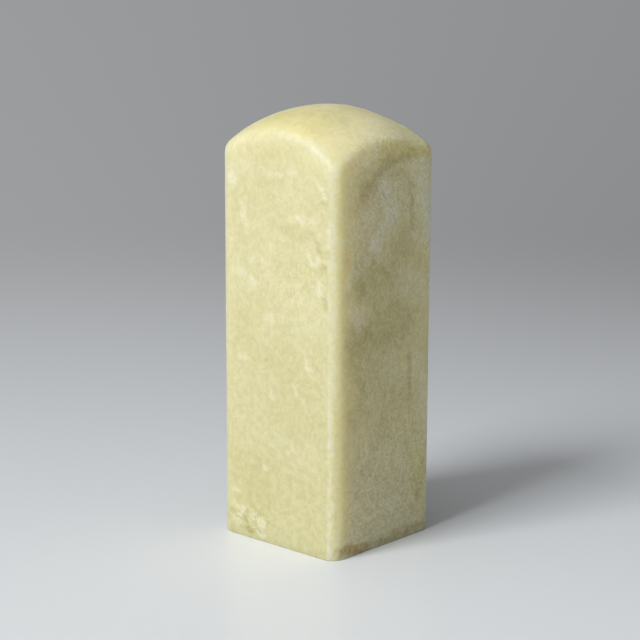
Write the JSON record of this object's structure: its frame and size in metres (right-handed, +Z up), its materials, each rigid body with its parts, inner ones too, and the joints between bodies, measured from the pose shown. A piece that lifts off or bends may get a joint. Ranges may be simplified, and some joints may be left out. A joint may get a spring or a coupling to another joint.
{
  "type": "seal stamp",
  "caption": "Hand-held stone seal: a square post with a domed top, rounded long edges and a printing face cut in relief on its underside.",
  "frame": {"origin": "middle of the printing face on the underside, which is what the seal stands on", "axes": "+Z up the stone to the top of the dome; -Y and +X are the two sides that the picture shows, left and right; the section is a little wider along X than along Y"},
  "size_m": [0.0252, 0.0246, 0.0706],
  "materials": {
    "stone": "hand-lapped and waxed, pale yellow-green, slightly translucent"
  },
  "bodies": {
    "root": {"seal_stone": "stone"}
  },
  "joints": []
}
